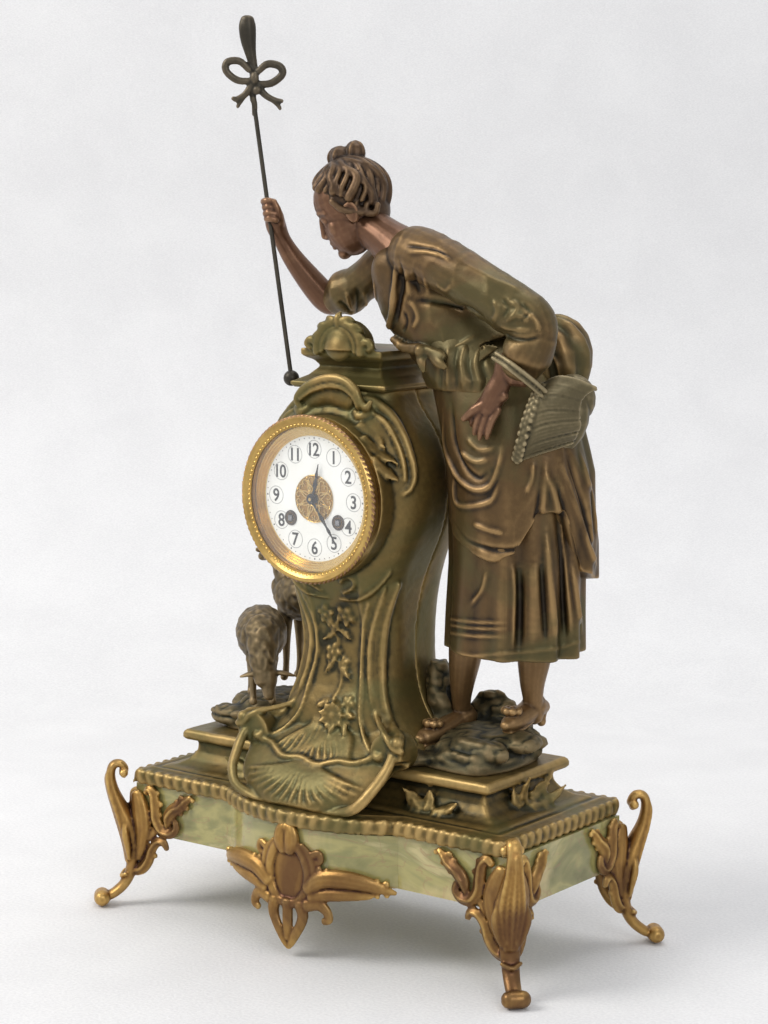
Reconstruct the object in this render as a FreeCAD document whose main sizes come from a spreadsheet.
"""Figural mantel clock: a shepherdess leans over a waisted rococo clock case on an onyx plinth.

Millimetres. X runs to the viewer's right, Y into the depth and Z up. The origin is on the table,
under the middle of the plinth. The dial faces -Y.
"""
import FreeCAD, Part
import math
import os
import types
import Sketcher
import PartDesign

Vector = FreeCAD.Vector
doc = FreeCAD.newDocument("figural_clock")

# Driving dimensions
SIZES = {
    # plinth: three onyx blocks, the middle one bowed
    "plinth_half_length": 168.0, "plinth_half_depth": 68.5, "plinth_bottom": 56.5, "plinth_height": 37.0,
    "bow_half_chord": 76.0, "bow_rise": 25.0,
    # terrace: a hollow casting with a gadrooned rim, a flat, a cove and a cap
    "rim_inset": 2.0, "rim_overhang": 3.5, "rim_height": 12.0, "rim_round": 5.0, "terrace_wall": 4.0,
    "cove_half_length": 151.0, "cove_half_depth": 58.0, "cove_height": 21.5,
    "neck_half_length": 129.0, "neck_half_depth": 42.0,
    "cap_half_length": 138.0, "cap_half_depth": 50.5, "cap_height": 8.0, "cap_edge": 2.0,
    # bolts that hold the terrace on the plinth
    "bolt_radius": 2.5, "bolt_out": 112.0, "bolt_deep": 20.0, "bolt_length": 52.0, "bolt_head_radius": 4.6,
    "bolt_head_height": 3.5, "bolt_washer_radius": 7.0, "bolt_washer_height": 1.0, "boss_radius": 6.5,
    "bolt_clearance": 0.2,
    # corner feet and the apron mount
    "foot_height": 113.0, "foot_plate": 4.0, "foot_screw_radius": 1.7,
    "foot_screw_head_radius": 3.2, "foot_screw_head_height": 1.6, "foot_tab": 24.0, "foot_tab_height": 3.0,
    "foot_screw_inset": 13.0, "toe_flat": 0.6, "mount_height": 90.0, "mount_drop": 6.0, "mount_thickness": 3.5,
    # clock case
    "case_height": 258.0, "case_half_width": 68.0, "case_front": 62.0, "case_back": 38.0, "case_wall": 3.2,
    "drum_radius": 57.0,
    # cornice and crest
    "ledge_half_width": 42.0, "ledge_half_depth": 38.5, "ledge_height": 4.5, "neck_half_width": 27.0,
    "slab_half_width": 35.5, "slab_half_depth": 34.5, "slab_height": 6.0, "cornice_neck": 17.0,
    "crest_radius": 20.0, "crest_depth": 15.0, "cornice_wall": 4.0,
    # dial and bezel, measured from the dial's axis
    "dial_height": 319.4, "dial_radius": 46.2, "dial_thickness": 1.5, "dial_lip": 2.7, "dial_lip_height": 1.5,
    "seat_bore": 46.5, "seat_radius": 50.0, "seat_length": 31.0, "seat_flange": 57.0, "seat_flange_height": 2.5,
    "seat_clearance": 0.1,
    "bezel_bore": 50.6, "bezel_radius": 58.5, "bezel_front": 73.5, "bezel_gap": 0.3,
    "glass_thickness": 1.4, "glass_front": 71.4, "glass_lip": 1.6,
    "sight_radius": 43.8, "sight_step": 1.4, "sight_wall": 1.0,
    "winding_out": 21.0, "winding_drop": 15.0, "winding_hole": 3.2, "centre_hole": 3.2,
    "filigree_radius": 16.0, "filigree_height": 0.5, "grommet_radius": 4.2, "grommet_height": 0.6,
    "hinge_pin_radius": 1.1, "hinge_pin_length": 16.0, "hinge_knuckle": 2.4, "hinge_out": 60.6,
    # movement
    "movement_radius": 43.0, "movement_plate": 2.0, "movement_front": 54.0, "movement_gap": 26.0,
    "pivot_radius": 0.6, "pivot_clearance": 0.06, "arbor_radius": 1.2, "slim_arbor_radius": 0.75,
    "pillar_radius": 2.6, "pillar_circle": 38.8,
    "barrel_radius": 17.0, "barrel_start": 6.0, "barrel_length": 13.8, "barrel_arbor_radius": 2.4,
    "square_side": 3.4, "square_reach": 65.0, "wheel_thickness": 1.0,
    "barrel_module": 0.45, "second_module": 0.42, "centre_module": 0.34, "third_module": 0.32,
    "motion_distance": 10.5, "escape_radius": 9.0, "escape_rise": 24.5, "anchor_rise": 12.6,
    # hands
    "minute_hand_length": 37.0, "hour_hand_length": 25.0, "hand_thickness": 0.7, "hand_width": 3.2,
    "minute_hand_back": 66.8, "hour_hand_back": 65.4, "cannon_radius": 1.9, "hour_pipe_radius": 2.5, "collet_radius": 2.8,
    "collet_height": 1.4,
    # pendulum, hammer and bell behind the movement
    "pendulum_plane": 19.0, "pendulum_length": 118.0, "bob_radius": 15.0, "bob_thickness": 7.0, "rod_radius": 1.0,
    "bell_radius": 27.0, "bell_wall": 1.2, "bell_depth": 19.0, "bell_mouth": 9.0, "bell_out": 13.0,
    "bell_drop": 27.0, "bell_post_radius": 2.0, "hammer_out": 37.6, "hammer_rise": 8.0,
    "hammer_head_radius": 3.0, "hammer_head_length": 7.0, "hammer_plane": 4.0,
    # straps and back ring
    "strap_width": 8.0, "strap_thickness": 1.3, "rear_opening": 47.2, "ring_bore": 41.0,
    "ring_radius": 51.5, "ring_height": 3.0, "cover_thickness": 1.2, "cover_dome": 5.0, "cover_gap": 0.3,
    "cover_radius": 42.2, "cover_hinge_drop": 46.5, "cover_knuckle": 1.6, "cover_knuckle_length": 6.0,
    "strap_screw_radius": 1.2, "strap_screw_head": 2.3, "strap_screw_length": 5.0, "strap_screw_head_height": 1.2,
    # shepherdess, rocks, sheep and crook
    "figure_height": 427.0, "hat_length": 56.0, "rock_height": 25.0, "sheep_length": 72.0,
    "crook_radius": 1.6, "crook_length": 201.5, "crook_head_height": 62.0, "crook_head_thickness": 5.0,
    "soft_gap": 0.3, "overrun": 1.0,
}

sheet = doc.addObject("Spreadsheet::Sheet", "Sizes")
for row, (alias, value) in enumerate(SIZES.items(), start=1):
    sheet.set(f"A{row}", alias)
    sheet.set(f"B{row}", str(value))
    sheet.setAlias(f"B{row}", alias)
doc.recompute()


class Size(float):
    """A number that remembers how it is worked out from the sheet's cells."""

    def __new__(cls, value, formula):
        number = super().__new__(cls, value)
        number.formula = formula
        return number

    def __add__(self, other):
        return Size(float(self) + float(other), f"({self.formula} + {formula_of(other)})")

    def __radd__(self, other):
        return Size(float(other) + float(self), f"({formula_of(other)} + {self.formula})")

    def __sub__(self, other):
        return Size(float(self) - float(other), f"({self.formula} - {formula_of(other)})")

    def __rsub__(self, other):
        return Size(float(other) - float(self), f"({formula_of(other)} - {self.formula})")

    def __mul__(self, other):
        return Size(float(self) * float(other), f"({self.formula} * {formula_of(other)})")

    def __rmul__(self, other):
        return Size(float(other) * float(self), f"({formula_of(other)} * {self.formula})")

    def __truediv__(self, other):
        return Size(float(self) / float(other), f"({self.formula} / {formula_of(other)})")

    def __neg__(self):
        return Size(-float(self), f"(0 - {self.formula})")


def formula_of(value):
    return getattr(value, "formula", f"{float(value):.9f}")


S = types.SimpleNamespace(**{alias: Size(sheet.get(alias), "Sizes." + alias) for alias in SIZES})
PARTS = {}
ALONG = {
    "Z": FreeCAD.Rotation(),
    "Y": FreeCAD.Rotation(Vector(1, 0, 0), -90),
    "X": FreeCAD.Rotation(Vector(0, 1, 0), 90),
}


def bind(thing, **links):
    """Ties properties of an object to the sheet."""
    for place, value in links.items():
        thing.setExpression(place.replace("_", "."), formula_of(value))


def put(thing, x, y, z, along="Z"):
    thing.Placement = FreeCAD.Placement(Vector(0, 0, 0), ALONG[along])
    bind(thing, Placement_Base_x=x, Placement_Base_y=y, Placement_Base_z=z)
    return thing


def rod(name, radius, length, x=0, y=0, z=0, along="Z"):
    thing = doc.addObject("Part::Cylinder", name)
    bind(thing, Radius=radius, Height=length)
    return put(thing, x, y, z, along)


def box(name, length, width, height, x, y, z):
    thing = doc.addObject("Part::Box", name)
    bind(thing, Length=length, Width=width, Height=height)
    return put(thing, x, y, z)


def cut(name, base, tool):
    thing = doc.addObject("Part::Cut", name)
    thing.Base = base
    thing.Tool = tool
    return thing


def common(name, first, second):
    thing = doc.addObject("Part::Common", name)
    thing.Base = first
    thing.Tool = second
    return thing


def fuse(name, things):
    thing = doc.addObject("Part::MultiFuse", name)
    thing.Shapes = things
    return thing


def keep(node, thing):
    """Names a finished sub-part: its label names its file."""
    thing.Label = node
    PARTS[node] = thing
    return thing


def made(node, shape):
    """A sub-part whose shape is worked out in code from the sheet's sizes."""
    thing = doc.addObject("Part::Feature", node + "_shape")
    thing.Shape = shape
    thing.Placement = FreeCAD.Placement()
    return keep(node, thing)


def turned(name, points, x=0, z=0):
    """A piece turned about an axis along Y. The points are its half section, as radius and place in Y."""
    body = doc.addObject("PartDesign::Body", name)
    plane = [feature for feature in body.Origin.OriginFeatures if feature.Role == "XY_Plane"][0]
    sketch = body.newObject("Sketcher::SketchObject", name + "_section")
    sketch.AttachmentSupport = [(plane, "")]
    sketch.MapMode = "FlatFace"
    count = len(points)
    corners = [Vector(radius, y, 0) for radius, y in points]
    for i in range(count):
        sketch.addGeometry(Part.LineSegment(corners[i], corners[(i + 1) % count]), False)
    for i in range(count):
        sketch.addConstraint(Sketcher.Constraint("Coincident", i, 2, (i + 1) % count, 1))
    for i, (radius, y) in enumerate(points):
        for kind, value, axis in (("DistanceX", radius, -2), ("DistanceY", y, -1)):
            if value == 0:
                sketch.addConstraint(Sketcher.Constraint("PointOnObject", i, 1, axis))
            else:
                link = sketch.addConstraint(Sketcher.Constraint(kind, -1, 1, i, 1, float(value)))
                sketch.setExpression(f"Constraints[{link}]", formula_of(value))
    turn = body.newObject("PartDesign::Revolution", name + "_turn")
    turn.Profile = sketch
    turn.ReferenceAxis = (sketch, ["V_Axis"])
    turn.Angle = 360
    bind(body, Placement_Base_x=x, Placement_Base_z=z)
    return body


def smooth_loop(points):
    """A closed smooth wire through points."""
    curve = Part.BSplineCurve()
    curve.interpolate(points, PeriodicFlag=True)
    return Part.Wire([curve.toShape()])


OVAL_STEPS = 10


def oval(centre, normal, side, half_side, half_other):
    """An oval across a limb: half_side lies along side and half_other across it."""
    normal = Vector(normal).normalize()
    first = (side - normal * side.dot(normal)).normalize()
    second = normal.cross(first)
    turns = [2 * math.pi * k / OVAL_STEPS for k in range(OVAL_STEPS)]
    return smooth_loop([
        centre + first * (half_side * math.cos(turn)) + second * (half_other * math.sin(turn)) for turn in turns
    ])


def limb(stations, side):
    """A solid through ovals, each given as its centre, its half width along side and the one across it."""
    wires = []
    for i, (centre, half_side, half_other) in enumerate(stations):
        ahead = stations[min(i + 1, len(stations) - 1)][0]
        behind = stations[max(i - 1, 0)][0]
        wires.append(oval(centre, ahead - behind, side, half_side, half_other))
    return Part.makeLoft(wires, True, False)


def plate(points, thickness):
    """A flat piece with a smooth outline, as thick as the vector thickness."""
    return Part.Face(smooth_loop(points)).extrude(thickness)


def block(low, high):
    return Part.makeBox(high.x - low.x, high.y - low.y, high.z - low.z, low)


def bar(radius, start, end):
    return Part.makeCylinder(radius, (end - start).Length, start, end - start)


def joined(shapes):
    return shapes[0].multiFuse(shapes[1:]).removeSplitter()


def largest(shape):
    """The main solid of a cut, without its crumbs."""
    return max(shape.Solids, key=lambda solid: solid.Volume)


def cross_pin(radius, x, y, z, length):
    """A pin along Y that starts at y."""
    return bar(radius, Vector(x, y, z), Vector(x, y + length, z))


def washer(inner, outer, x, y, z, height):
    """A flat ring about an axis along Y."""
    return cross_pin(outer, x, y, z, height).cut(cross_pin(inner, x, y, z, height))


# Onyx plinth
for side_name, inner_x, bolt_x in (
    ("left", -S.plinth_half_length, -S.bolt_out), ("right", S.bow_half_chord, S.bolt_out),
):
    keep("onyx_block_" + side_name, cut(
        "onyx_" + side_name + "_bored",
        box("onyx_" + side_name, S.plinth_half_length - S.bow_half_chord, 2 * S.plinth_half_depth,
            S.plinth_height, inner_x, -S.plinth_half_depth, S.plinth_bottom),
        fuse("onyx_" + side_name + "_bores", [
            rod("onyx_bore_" + side_name + row, S.bolt_radius + S.bolt_clearance, S.plinth_height,
                bolt_x, bolt_y, S.plinth_bottom)
            for row, bolt_y in (("_front", -S.bolt_deep), ("_rear", S.bolt_deep))
        ]),
    ))

bow_radius = (S.bow_half_chord * S.bow_half_chord / S.bow_rise + S.bow_rise) / 2
keep("onyx_block_centre", fuse("onyx_centre_whole", [
    box("onyx_centre", 2 * S.bow_half_chord, 2 * S.plinth_half_depth, S.plinth_height,
        -S.bow_half_chord, -S.plinth_half_depth, S.plinth_bottom),
    common("onyx_bow",
           rod("onyx_bow_round", bow_radius, S.plinth_height, 0, bow_radius - S.bow_rise - S.plinth_half_depth,
               S.plinth_bottom),
           box("onyx_bow_block", 2 * S.bow_half_chord, S.bow_rise, S.plinth_height,
               -S.bow_half_chord, -S.plinth_half_depth - S.bow_rise, S.plinth_bottom)),
]))

# Terrace casting: its levels, then its rim, cove, cap and bosses
plinth_top = S.plinth_bottom + S.plinth_height
rim_top = plinth_top + S.rim_height
neck_top = rim_top + S.cove_height
cap_top = neck_top + S.cap_height
bolt_places = [(sx * S.bolt_out, sy * S.bolt_deep) for sx in (-1, 1) for sy in (-1, 1)]
bolt_start = S.plinth_bottom - S.bolt_washer_height
COVE_RISE_SHARES = (0.0, 0.08, 0.12, 0.3, 0.6, 1.0)
COVE_IN_SHARES = (0.0, 0.0, 0.35, 0.7, 0.93, 1.0)


def ring_outline(half_length, half_depth, z):
    corners = [Vector(x, y, z) for x, y in (
        (-half_length, -half_depth), (half_length, -half_depth), (half_length, half_depth),
        (-half_length, half_depth))]
    return Part.makePolygon(corners + corners[:1])


def rim_block(inset, low, high):
    """The rim's block: a rectangle whose front swells to a bow in the middle."""
    half_length = S.plinth_half_length - S.rim_inset - inset
    half_depth = S.plinth_half_depth + S.rim_overhang - inset
    chord = S.bow_half_chord
    corners = [Vector(x, y, low) for x, y in (
        (chord, -half_depth), (half_length, -half_depth), (half_length, half_depth),
        (-half_length, half_depth), (-half_length, -half_depth), (-chord, -half_depth))]
    edges = [Part.makeLine(a, b) for a, b in zip(corners, corners[1:])]
    edges.append(Part.Arc(corners[-1], Vector(0, -half_depth - S.bow_rise, low), corners[0]).toShape())
    return Part.Face(Part.Wire(edges)).extrude(Vector(0, 0, high - low))


def cove_block(inset):
    """The moulding between the rim and the cap: a step, then a curve inwards and up."""
    wires = []
    for rise_share, in_share in zip(COVE_RISE_SHARES, COVE_IN_SHARES):
        half_length = S.cove_half_length - in_share * (S.cove_half_length - S.neck_half_length) - inset
        half_depth = S.cove_half_depth - in_share * (S.cove_half_depth - S.neck_half_depth) - inset
        wires.append(ring_outline(half_length, half_depth, rim_top + rise_share * S.cove_height))
    return Part.makeLoft(wires, True, True)


def cap_block():
    levels = ((neck_top, S.cap_edge), (neck_top + S.cap_edge, 0), (cap_top - S.cap_edge, 0), (cap_top, S.cap_edge))
    wires = [ring_outline(S.cap_half_length - inset, S.cap_half_depth - inset, z) for z, inset in levels]
    return Part.makeLoft(wires, True, True)


def terrace():
    rim = rim_block(0, plinth_top, rim_top)
    level_edges = [edge for edge in rim.Edges if edge.BoundBox.ZLength < S.soft_gap]
    rim = rim.makeFillet(min(S.rim_round, S.rim_height / 2 - S.cap_edge / 2), level_edges)
    wall = S.terrace_wall
    core_length = S.neck_half_length - 2 * wall
    core_depth = S.neck_half_depth - 2 * wall
    hollow = joined([
        rim_block(3 * wall, plinth_top - S.overrun, rim_top - wall),
        block(Vector(-core_length, -core_depth, plinth_top), Vector(core_length, core_depth, cap_top - wall)),
    ])
    shape = joined([rim, cove_block(0), cap_block()]).cut(hollow)
    bolt_tip = bolt_start + S.bolt_length
    for x, y in bolt_places:
        boss = bar(S.boss_radius, Vector(x, y, plinth_top), Vector(x, y, cap_top - wall / 2))
        bore = bar(S.bolt_radius, Vector(x, y, plinth_top - S.overrun), Vector(x, y, bolt_tip))
        shape = shape.fuse(boss).cut(bore)
    return shape.removeSplitter()


made("terrace_base", terrace())


def tie_bolt(x, y):
    """A hexagon headed bolt with its washer, driven from under the plinth."""
    head_low = bolt_start - S.bolt_head_height
    corners = [Vector(x + S.bolt_head_radius * math.cos(math.pi * k / 3),
                      y + S.bolt_head_radius * math.sin(math.pi * k / 3), head_low) for k in range(6)]
    head = Part.Face(Part.makePolygon(corners + corners[:1])).extrude(Vector(0, 0, S.bolt_head_height))
    washer = bar(S.bolt_washer_radius, Vector(x, y, bolt_start), Vector(x, y, S.plinth_bottom))
    shank = bar(S.bolt_radius, Vector(x, y, bolt_start), Vector(x, y, bolt_start + S.bolt_length))
    return joined([head, washer, shank])


made("tie_bolts", Part.makeCompound([tie_bolt(x, y) for x, y in bolt_places]))

# Corner feet. A foot's leg lies in shares of its height: distance out from the plinth's corner,
# height, half width across the diagonal, half width along it.
LEG_SHARES = (
    (0.133, 0.978, 0.027, 0.018), (0.146, 0.951, 0.044, 0.040), (0.119, 0.885, 0.053, 0.049),
    (0.084, 0.761, 0.066, 0.053), (0.049, 0.619, 0.102, 0.053), (0.040, 0.478, 0.106, 0.053),
    (0.030, 0.336, 0.080, 0.049), (0.049, 0.230, 0.062, 0.044), (0.097, 0.137, 0.053, 0.042),
    (0.170, 0.075, 0.053, 0.041), (0.232, 0.058, 0.055, 0.039),
)
TOE_OUT_SHARE = 0.2367
TOE_RADIUS_SHARE = 0.058
TOE_HALF_SHARE = 0.062
# The leaf on each face of the plinth: distance along the face from the corner, height
LEAF_SHARES = (
    (-0.018, 0.62), (0.05, 0.80), (0.12, 0.76), (0.14, 0.66), (0.22, 0.64), (0.30, 0.71), (0.39, 0.77),
    (0.425, 0.72), (0.35, 0.62), (0.28, 0.53), (0.17, 0.45), (0.215, 0.39), (0.13, 0.28), (0.04, 0.20),
    (-0.018, 0.30),
)
plinth_corner = Vector(S.plinth_half_length, -S.plinth_half_depth, 0)
outward = Vector(1, -1, 0).normalize()
across = Vector(1, 1, 0).normalize()


def right_foot():
    """The front right foot, with its screw hole."""
    tall = S.foot_height
    leg = limb([
        (plinth_corner + outward * (out * tall) + Vector(0, 0, z * tall), half * tall, deep * tall)
        for out, z, half, deep in LEG_SHARES
    ], across)
    toe_radius = TOE_RADIUS_SHARE * tall
    toe_centre = plinth_corner + outward * (TOE_OUT_SHARE * tall) + Vector(0, 0, toe_radius - S.toe_flat)
    toe_half = across * (TOE_HALF_SHARE * tall)
    front_leaf = [Vector(plinth_corner.x - along * tall, plinth_corner.y, z * tall) for along, z in LEAF_SHARES]
    end_leaf = [Vector(plinth_corner.x, plinth_corner.y + along * tall, z * tall) for along, z in LEAF_SHARES]
    tab_low = Vector(plinth_corner.x - S.foot_tab, plinth_corner.y - S.foot_plate,
                     S.plinth_bottom - S.foot_tab_height)
    tab_high = Vector(plinth_corner.x + S.foot_plate, plinth_corner.y + S.foot_tab, S.plinth_bottom)
    shape = joined([
        leg, bar(toe_radius, toe_centre - toe_half, toe_centre + toe_half),
        plate(front_leaf, Vector(0, -S.foot_plate, 0)), plate(end_leaf, Vector(S.foot_plate, 0, 0)),
        block(tab_low, tab_high),
    ])
    corner_block = block(Vector(0, plinth_corner.y, S.plinth_bottom), Vector(plinth_corner.x, 0, 2 * tall))
    below = block(Vector(0, 2 * plinth_corner.y, -tall), Vector(2 * plinth_corner.x, 0, 0))
    screw_x = plinth_corner.x - S.foot_screw_inset
    screw_y = plinth_corner.y + S.foot_screw_inset
    hole = bar(S.foot_screw_radius, Vector(screw_x, screw_y, 0), Vector(screw_x, screw_y, S.plinth_bottom))
    rim = rim_block(0, plinth_top, rim_top)
    return largest(shape.cut(corner_block).cut(rim).cut(hole).cut(below))


foot = right_foot()
ends_mirror = (Vector(0, 0, 0), Vector(1, 0, 0))
depth_mirror = (Vector(0, 0, 0), Vector(0, 1, 0))
made("foot_front_right", foot)
made("foot_front_left", foot.mirror(*ends_mirror))
made("foot_rear_right", foot.mirror(*depth_mirror))
made("foot_rear_left", foot.mirror(*ends_mirror).mirror(*depth_mirror))


def foot_screw(x, y):
    """A round headed wood screw that holds a foot's tab to the plinth."""
    head_top = S.plinth_bottom - S.foot_tab_height
    head = bar(S.foot_screw_head_radius, Vector(x, y, head_top - S.foot_screw_head_height), Vector(x, y, head_top))
    shank = bar(S.foot_screw_radius, Vector(x, y, head_top), Vector(x, y, S.plinth_bottom))
    return joined([head, shank])


screw_out = S.plinth_half_length - S.foot_screw_inset
screw_deep = S.plinth_half_depth - S.foot_screw_inset
made("foot_screws", Part.makeCompound([
    foot_screw(sx * screw_out, sy * screw_deep) for sx in (-1, 1) for sy in (-1, 1)
]))

# Apron mount on the bow: half of its outline, as shares of its half width and its height
MOUNT_SHARES = (
    (0.0, 1.0), (0.15, 0.91), (0.225, 0.73), (0.22, 0.62), (0.40, 0.63), (0.68, 0.60), (1.0, 0.545),
    (0.86, 0.455), (0.60, 0.455), (0.37, 0.53), (0.27, 0.455), (0.31, 0.36), (0.43, 0.32), (0.29, 0.22),
    (0.13, 0.13), (0.05, 0.04), (0.0, 0.0),
)


def apron_mount():
    """The gilt mount lies on the bow's face and hangs below it."""
    half_width = S.bow_half_chord
    half = [(x * half_width, S.mount_drop + z * S.mount_height) for x, z in MOUNT_SHARES]
    outline = half + [(-x, z) for x, z in reversed(half[1:-1])]
    front = -S.plinth_half_depth - S.bow_rise - 2 * S.mount_thickness
    face = Part.Face(smooth_loop([Vector(x, front, z) for x, z in outline]))
    slab = face.extrude(Vector(0, S.bow_rise + 4 * S.mount_thickness, 0))
    centre_y = bow_radius - S.bow_rise - S.plinth_half_depth
    low, high = Vector(0, centre_y, 0), Vector(0, centre_y, S.mount_drop + S.mount_height + S.overrun)
    skin = bar(bow_radius + S.mount_thickness, low, high).cut(bar(bow_radius, low, high))
    return largest(slab.common(skin).cut(rim_block(0, plinth_top, rim_top)))


made("front_apron_mount", apron_mount())

# Clock case: levels as a share of its height, then shares of its half width, front and back
CASE_SHARES = (
    (0.0, 0.95, 0.80, 1.0), (0.06, 0.92, 0.80, 1.0), (0.12, 0.74, 0.76, 1.0), (0.20, 0.62, 0.66, 1.0),
    (0.31, 0.59, 0.58, 1.0), (0.41, 0.63, 0.66, 1.0), (0.52, 0.76, 0.82, 1.0), (0.63, 0.94, 0.92, 1.0),
    (0.72, 1.0, 0.94, 1.0), (0.82, 0.96, 0.90, 1.0), (0.90, 0.82, 0.82, 1.0), (0.955, 0.66, 0.68, 0.98),
    (1.0, 0.60, 0.60, 0.96),
)
CORNER_SHARE = 0.55
case_low = cap_top
case_top = case_low + S.case_height


def case_section(level_share, width_share, front_share, back_share, inset):
    """A level outline of the case: a box with round corners."""
    half_width = S.case_half_width * width_share - inset
    front = -S.case_front * front_share + inset
    back = S.case_back * back_share - inset
    round_off = CORNER_SHARE * half_width
    z = case_low + S.case_height * level_share
    diagonal_in = round_off * (1 - math.sqrt(0.5))
    arcs = []
    for x, y, sx, sy in ((half_width, front, 1, -1), (half_width, back, 1, 1), (-half_width, back, -1, 1),
                         (-half_width, front, -1, -1)):
        ends = [Vector(x - sx * round_off, y, z), Vector(x, y - sy * round_off, z)]
        middle = Vector(x - sx * diagonal_in, y - sy * diagonal_in, z)
        if sx != -sy:
            ends.reverse()
        arcs.append((ends[0], middle, ends[1]))
    edges = []
    for arc, following in zip(arcs, arcs[1:] + arcs[:1]):
        edges.append(Part.Arc(*arc).toShape())
        edges.append(Part.makeLine(arc[2], following[0]))
    return Part.Wire(edges)


def case_block(inset):
    return Part.makeLoft([case_section(*shares, inset) for shares in CASE_SHARES], True, False)


# The scrolled apron in front of the case: out, up, half width, half thickness, as shares of the case's width
APRON_SHARES = (
    (0.55, 0.30, 1.02, 0.12), (0.72, 0.10, 1.05, 0.15), (0.98, -0.12, 0.98, 0.14), (1.20, -0.32, 0.70, 0.11),
    (1.32, -0.44, 0.34, 0.07),
)
VOLUTE_RADIUS_SHARE = 0.20
VOLUTE_OUT_SHARE = 0.88
VOLUTE_UP_SHARE = 0.17


def case_shells():
    """The case's front and rear shells, with the drum's bore and the rear opening."""
    wide = S.case_half_width
    reach = 3 * wide
    dial_axis = Vector(0, 0, S.dial_height)
    outer = case_block(0)
    lid = block(Vector(-wide, -S.case_front, case_top - S.case_wall), Vector(wide, S.case_back, case_top))
    shell = outer.cut(case_block(S.case_wall).cut(lid))
    drum = cross_pin(S.drum_radius, 0, -S.case_front, S.dial_height, S.case_front - S.case_wall)
    apron = limb([
        (Vector(0, -out * wide, case_low + up * wide), half * wide, thick * wide)
        for out, up, half, thick in APRON_SHARES
    ], Vector(1, 0, 0))
    volutes = [
        cross_pin(VOLUTE_RADIUS_SHARE * wide, side * VOLUTE_OUT_SHARE * wide, -S.case_front,
                  case_low + VOLUTE_UP_SHARE * wide, S.case_front / 3)
        for side in (-1, 1)
    ]
    for relief in [drum, apron] + volutes:
        shell = shell.fuse(largest(relief.cut(outer)))
    seat_bore = cross_pin(S.seat_radius + S.seat_clearance, 0, -S.case_front - S.overrun, S.dial_height,
                          S.case_front + S.overrun)
    for tool in (rim_block(0, plinth_top, rim_top), cove_block(0), cap_block(), seat_bore):
        shell = shell.cut(tool)
    front_half = block(Vector(-reach, -reach, 0), Vector(reach, 0, case_top))
    rear_half = block(Vector(-reach, 0, 0), Vector(reach, reach, case_top))
    rear_bore = bar(S.rear_opening, dial_axis, dial_axis + Vector(0, reach, 0))
    rear_drum = washer(S.rear_opening, S.ring_radius + S.case_wall, 0, S.case_back - 3 * S.case_wall,
                       S.dial_height, 3 * S.case_wall)
    rear = shell.cut(front_half).cut(rear_bore)
    return largest(shell.cut(rear_half)), largest(rear.fuse(rear_drum.cut(outer.cut(rear_bore))))


case_front_shell, case_rear_shell = case_shells()
made("case_front_shell", case_front_shell)
made("case_rear_shell", case_rear_shell)

# Cornice: ledge, hollow neck, slab and crest. The neck's curve is given as shares of the neck's height
# and of the step from the ledge in to the neck.
NECK_SHARES = ((0.0, 0.10), (0.25, 0.62), (0.6, 1.0), (0.85, 0.8), (1.0, 0.45))


def cornice():
    ledge_top = case_top + S.ledge_height
    slab_low = ledge_top + S.cornice_neck
    slab_top = slab_low + S.slab_height
    ledge = Part.makeLoft([
        ring_outline(S.ledge_half_width - edge, S.ledge_half_depth - edge, z)
        for z, edge in ((case_top, S.cap_edge), (case_top + S.cap_edge, 0), (ledge_top, 0))
    ], True, True)
    step = S.ledge_half_width - S.neck_half_width
    neck = Part.makeLoft([
        ring_outline(S.ledge_half_width - step * in_share, S.ledge_half_depth - step * in_share,
                     ledge_top + rise_share * S.cornice_neck)
        for rise_share, in_share in NECK_SHARES
    ], True, True)
    slab = Part.makeLoft([
        ring_outline(S.slab_half_width - edge, S.slab_half_depth - edge, z)
        for z, edge in ((slab_low, S.cap_edge), (slab_low + S.cap_edge, 0), (slab_top, 0))
    ], True, True)
    front = -S.slab_half_depth
    crest = cross_pin(S.crest_radius, 0, front, slab_top, S.crest_depth)
    boss = Part.makeSphere(S.crest_radius - S.cornice_wall, Vector(0, front + S.crest_depth / 2, slab_top))
    above = block(Vector(-S.slab_half_width, front - S.crest_radius, slab_top),
                  Vector(S.slab_half_width, S.slab_half_depth, slab_top + S.crest_radius + S.overrun))
    wall = S.cornice_wall
    core_width, core_depth = S.neck_half_width - wall, S.ledge_half_depth - step - wall
    core = block(Vector(-core_width, -core_depth, case_top - S.overrun), Vector(core_width, core_depth, slab_low))
    return joined([ledge, neck, slab, joined([crest, boss]).common(above)]).cut(core)


made("case_cornice", cornice())


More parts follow.
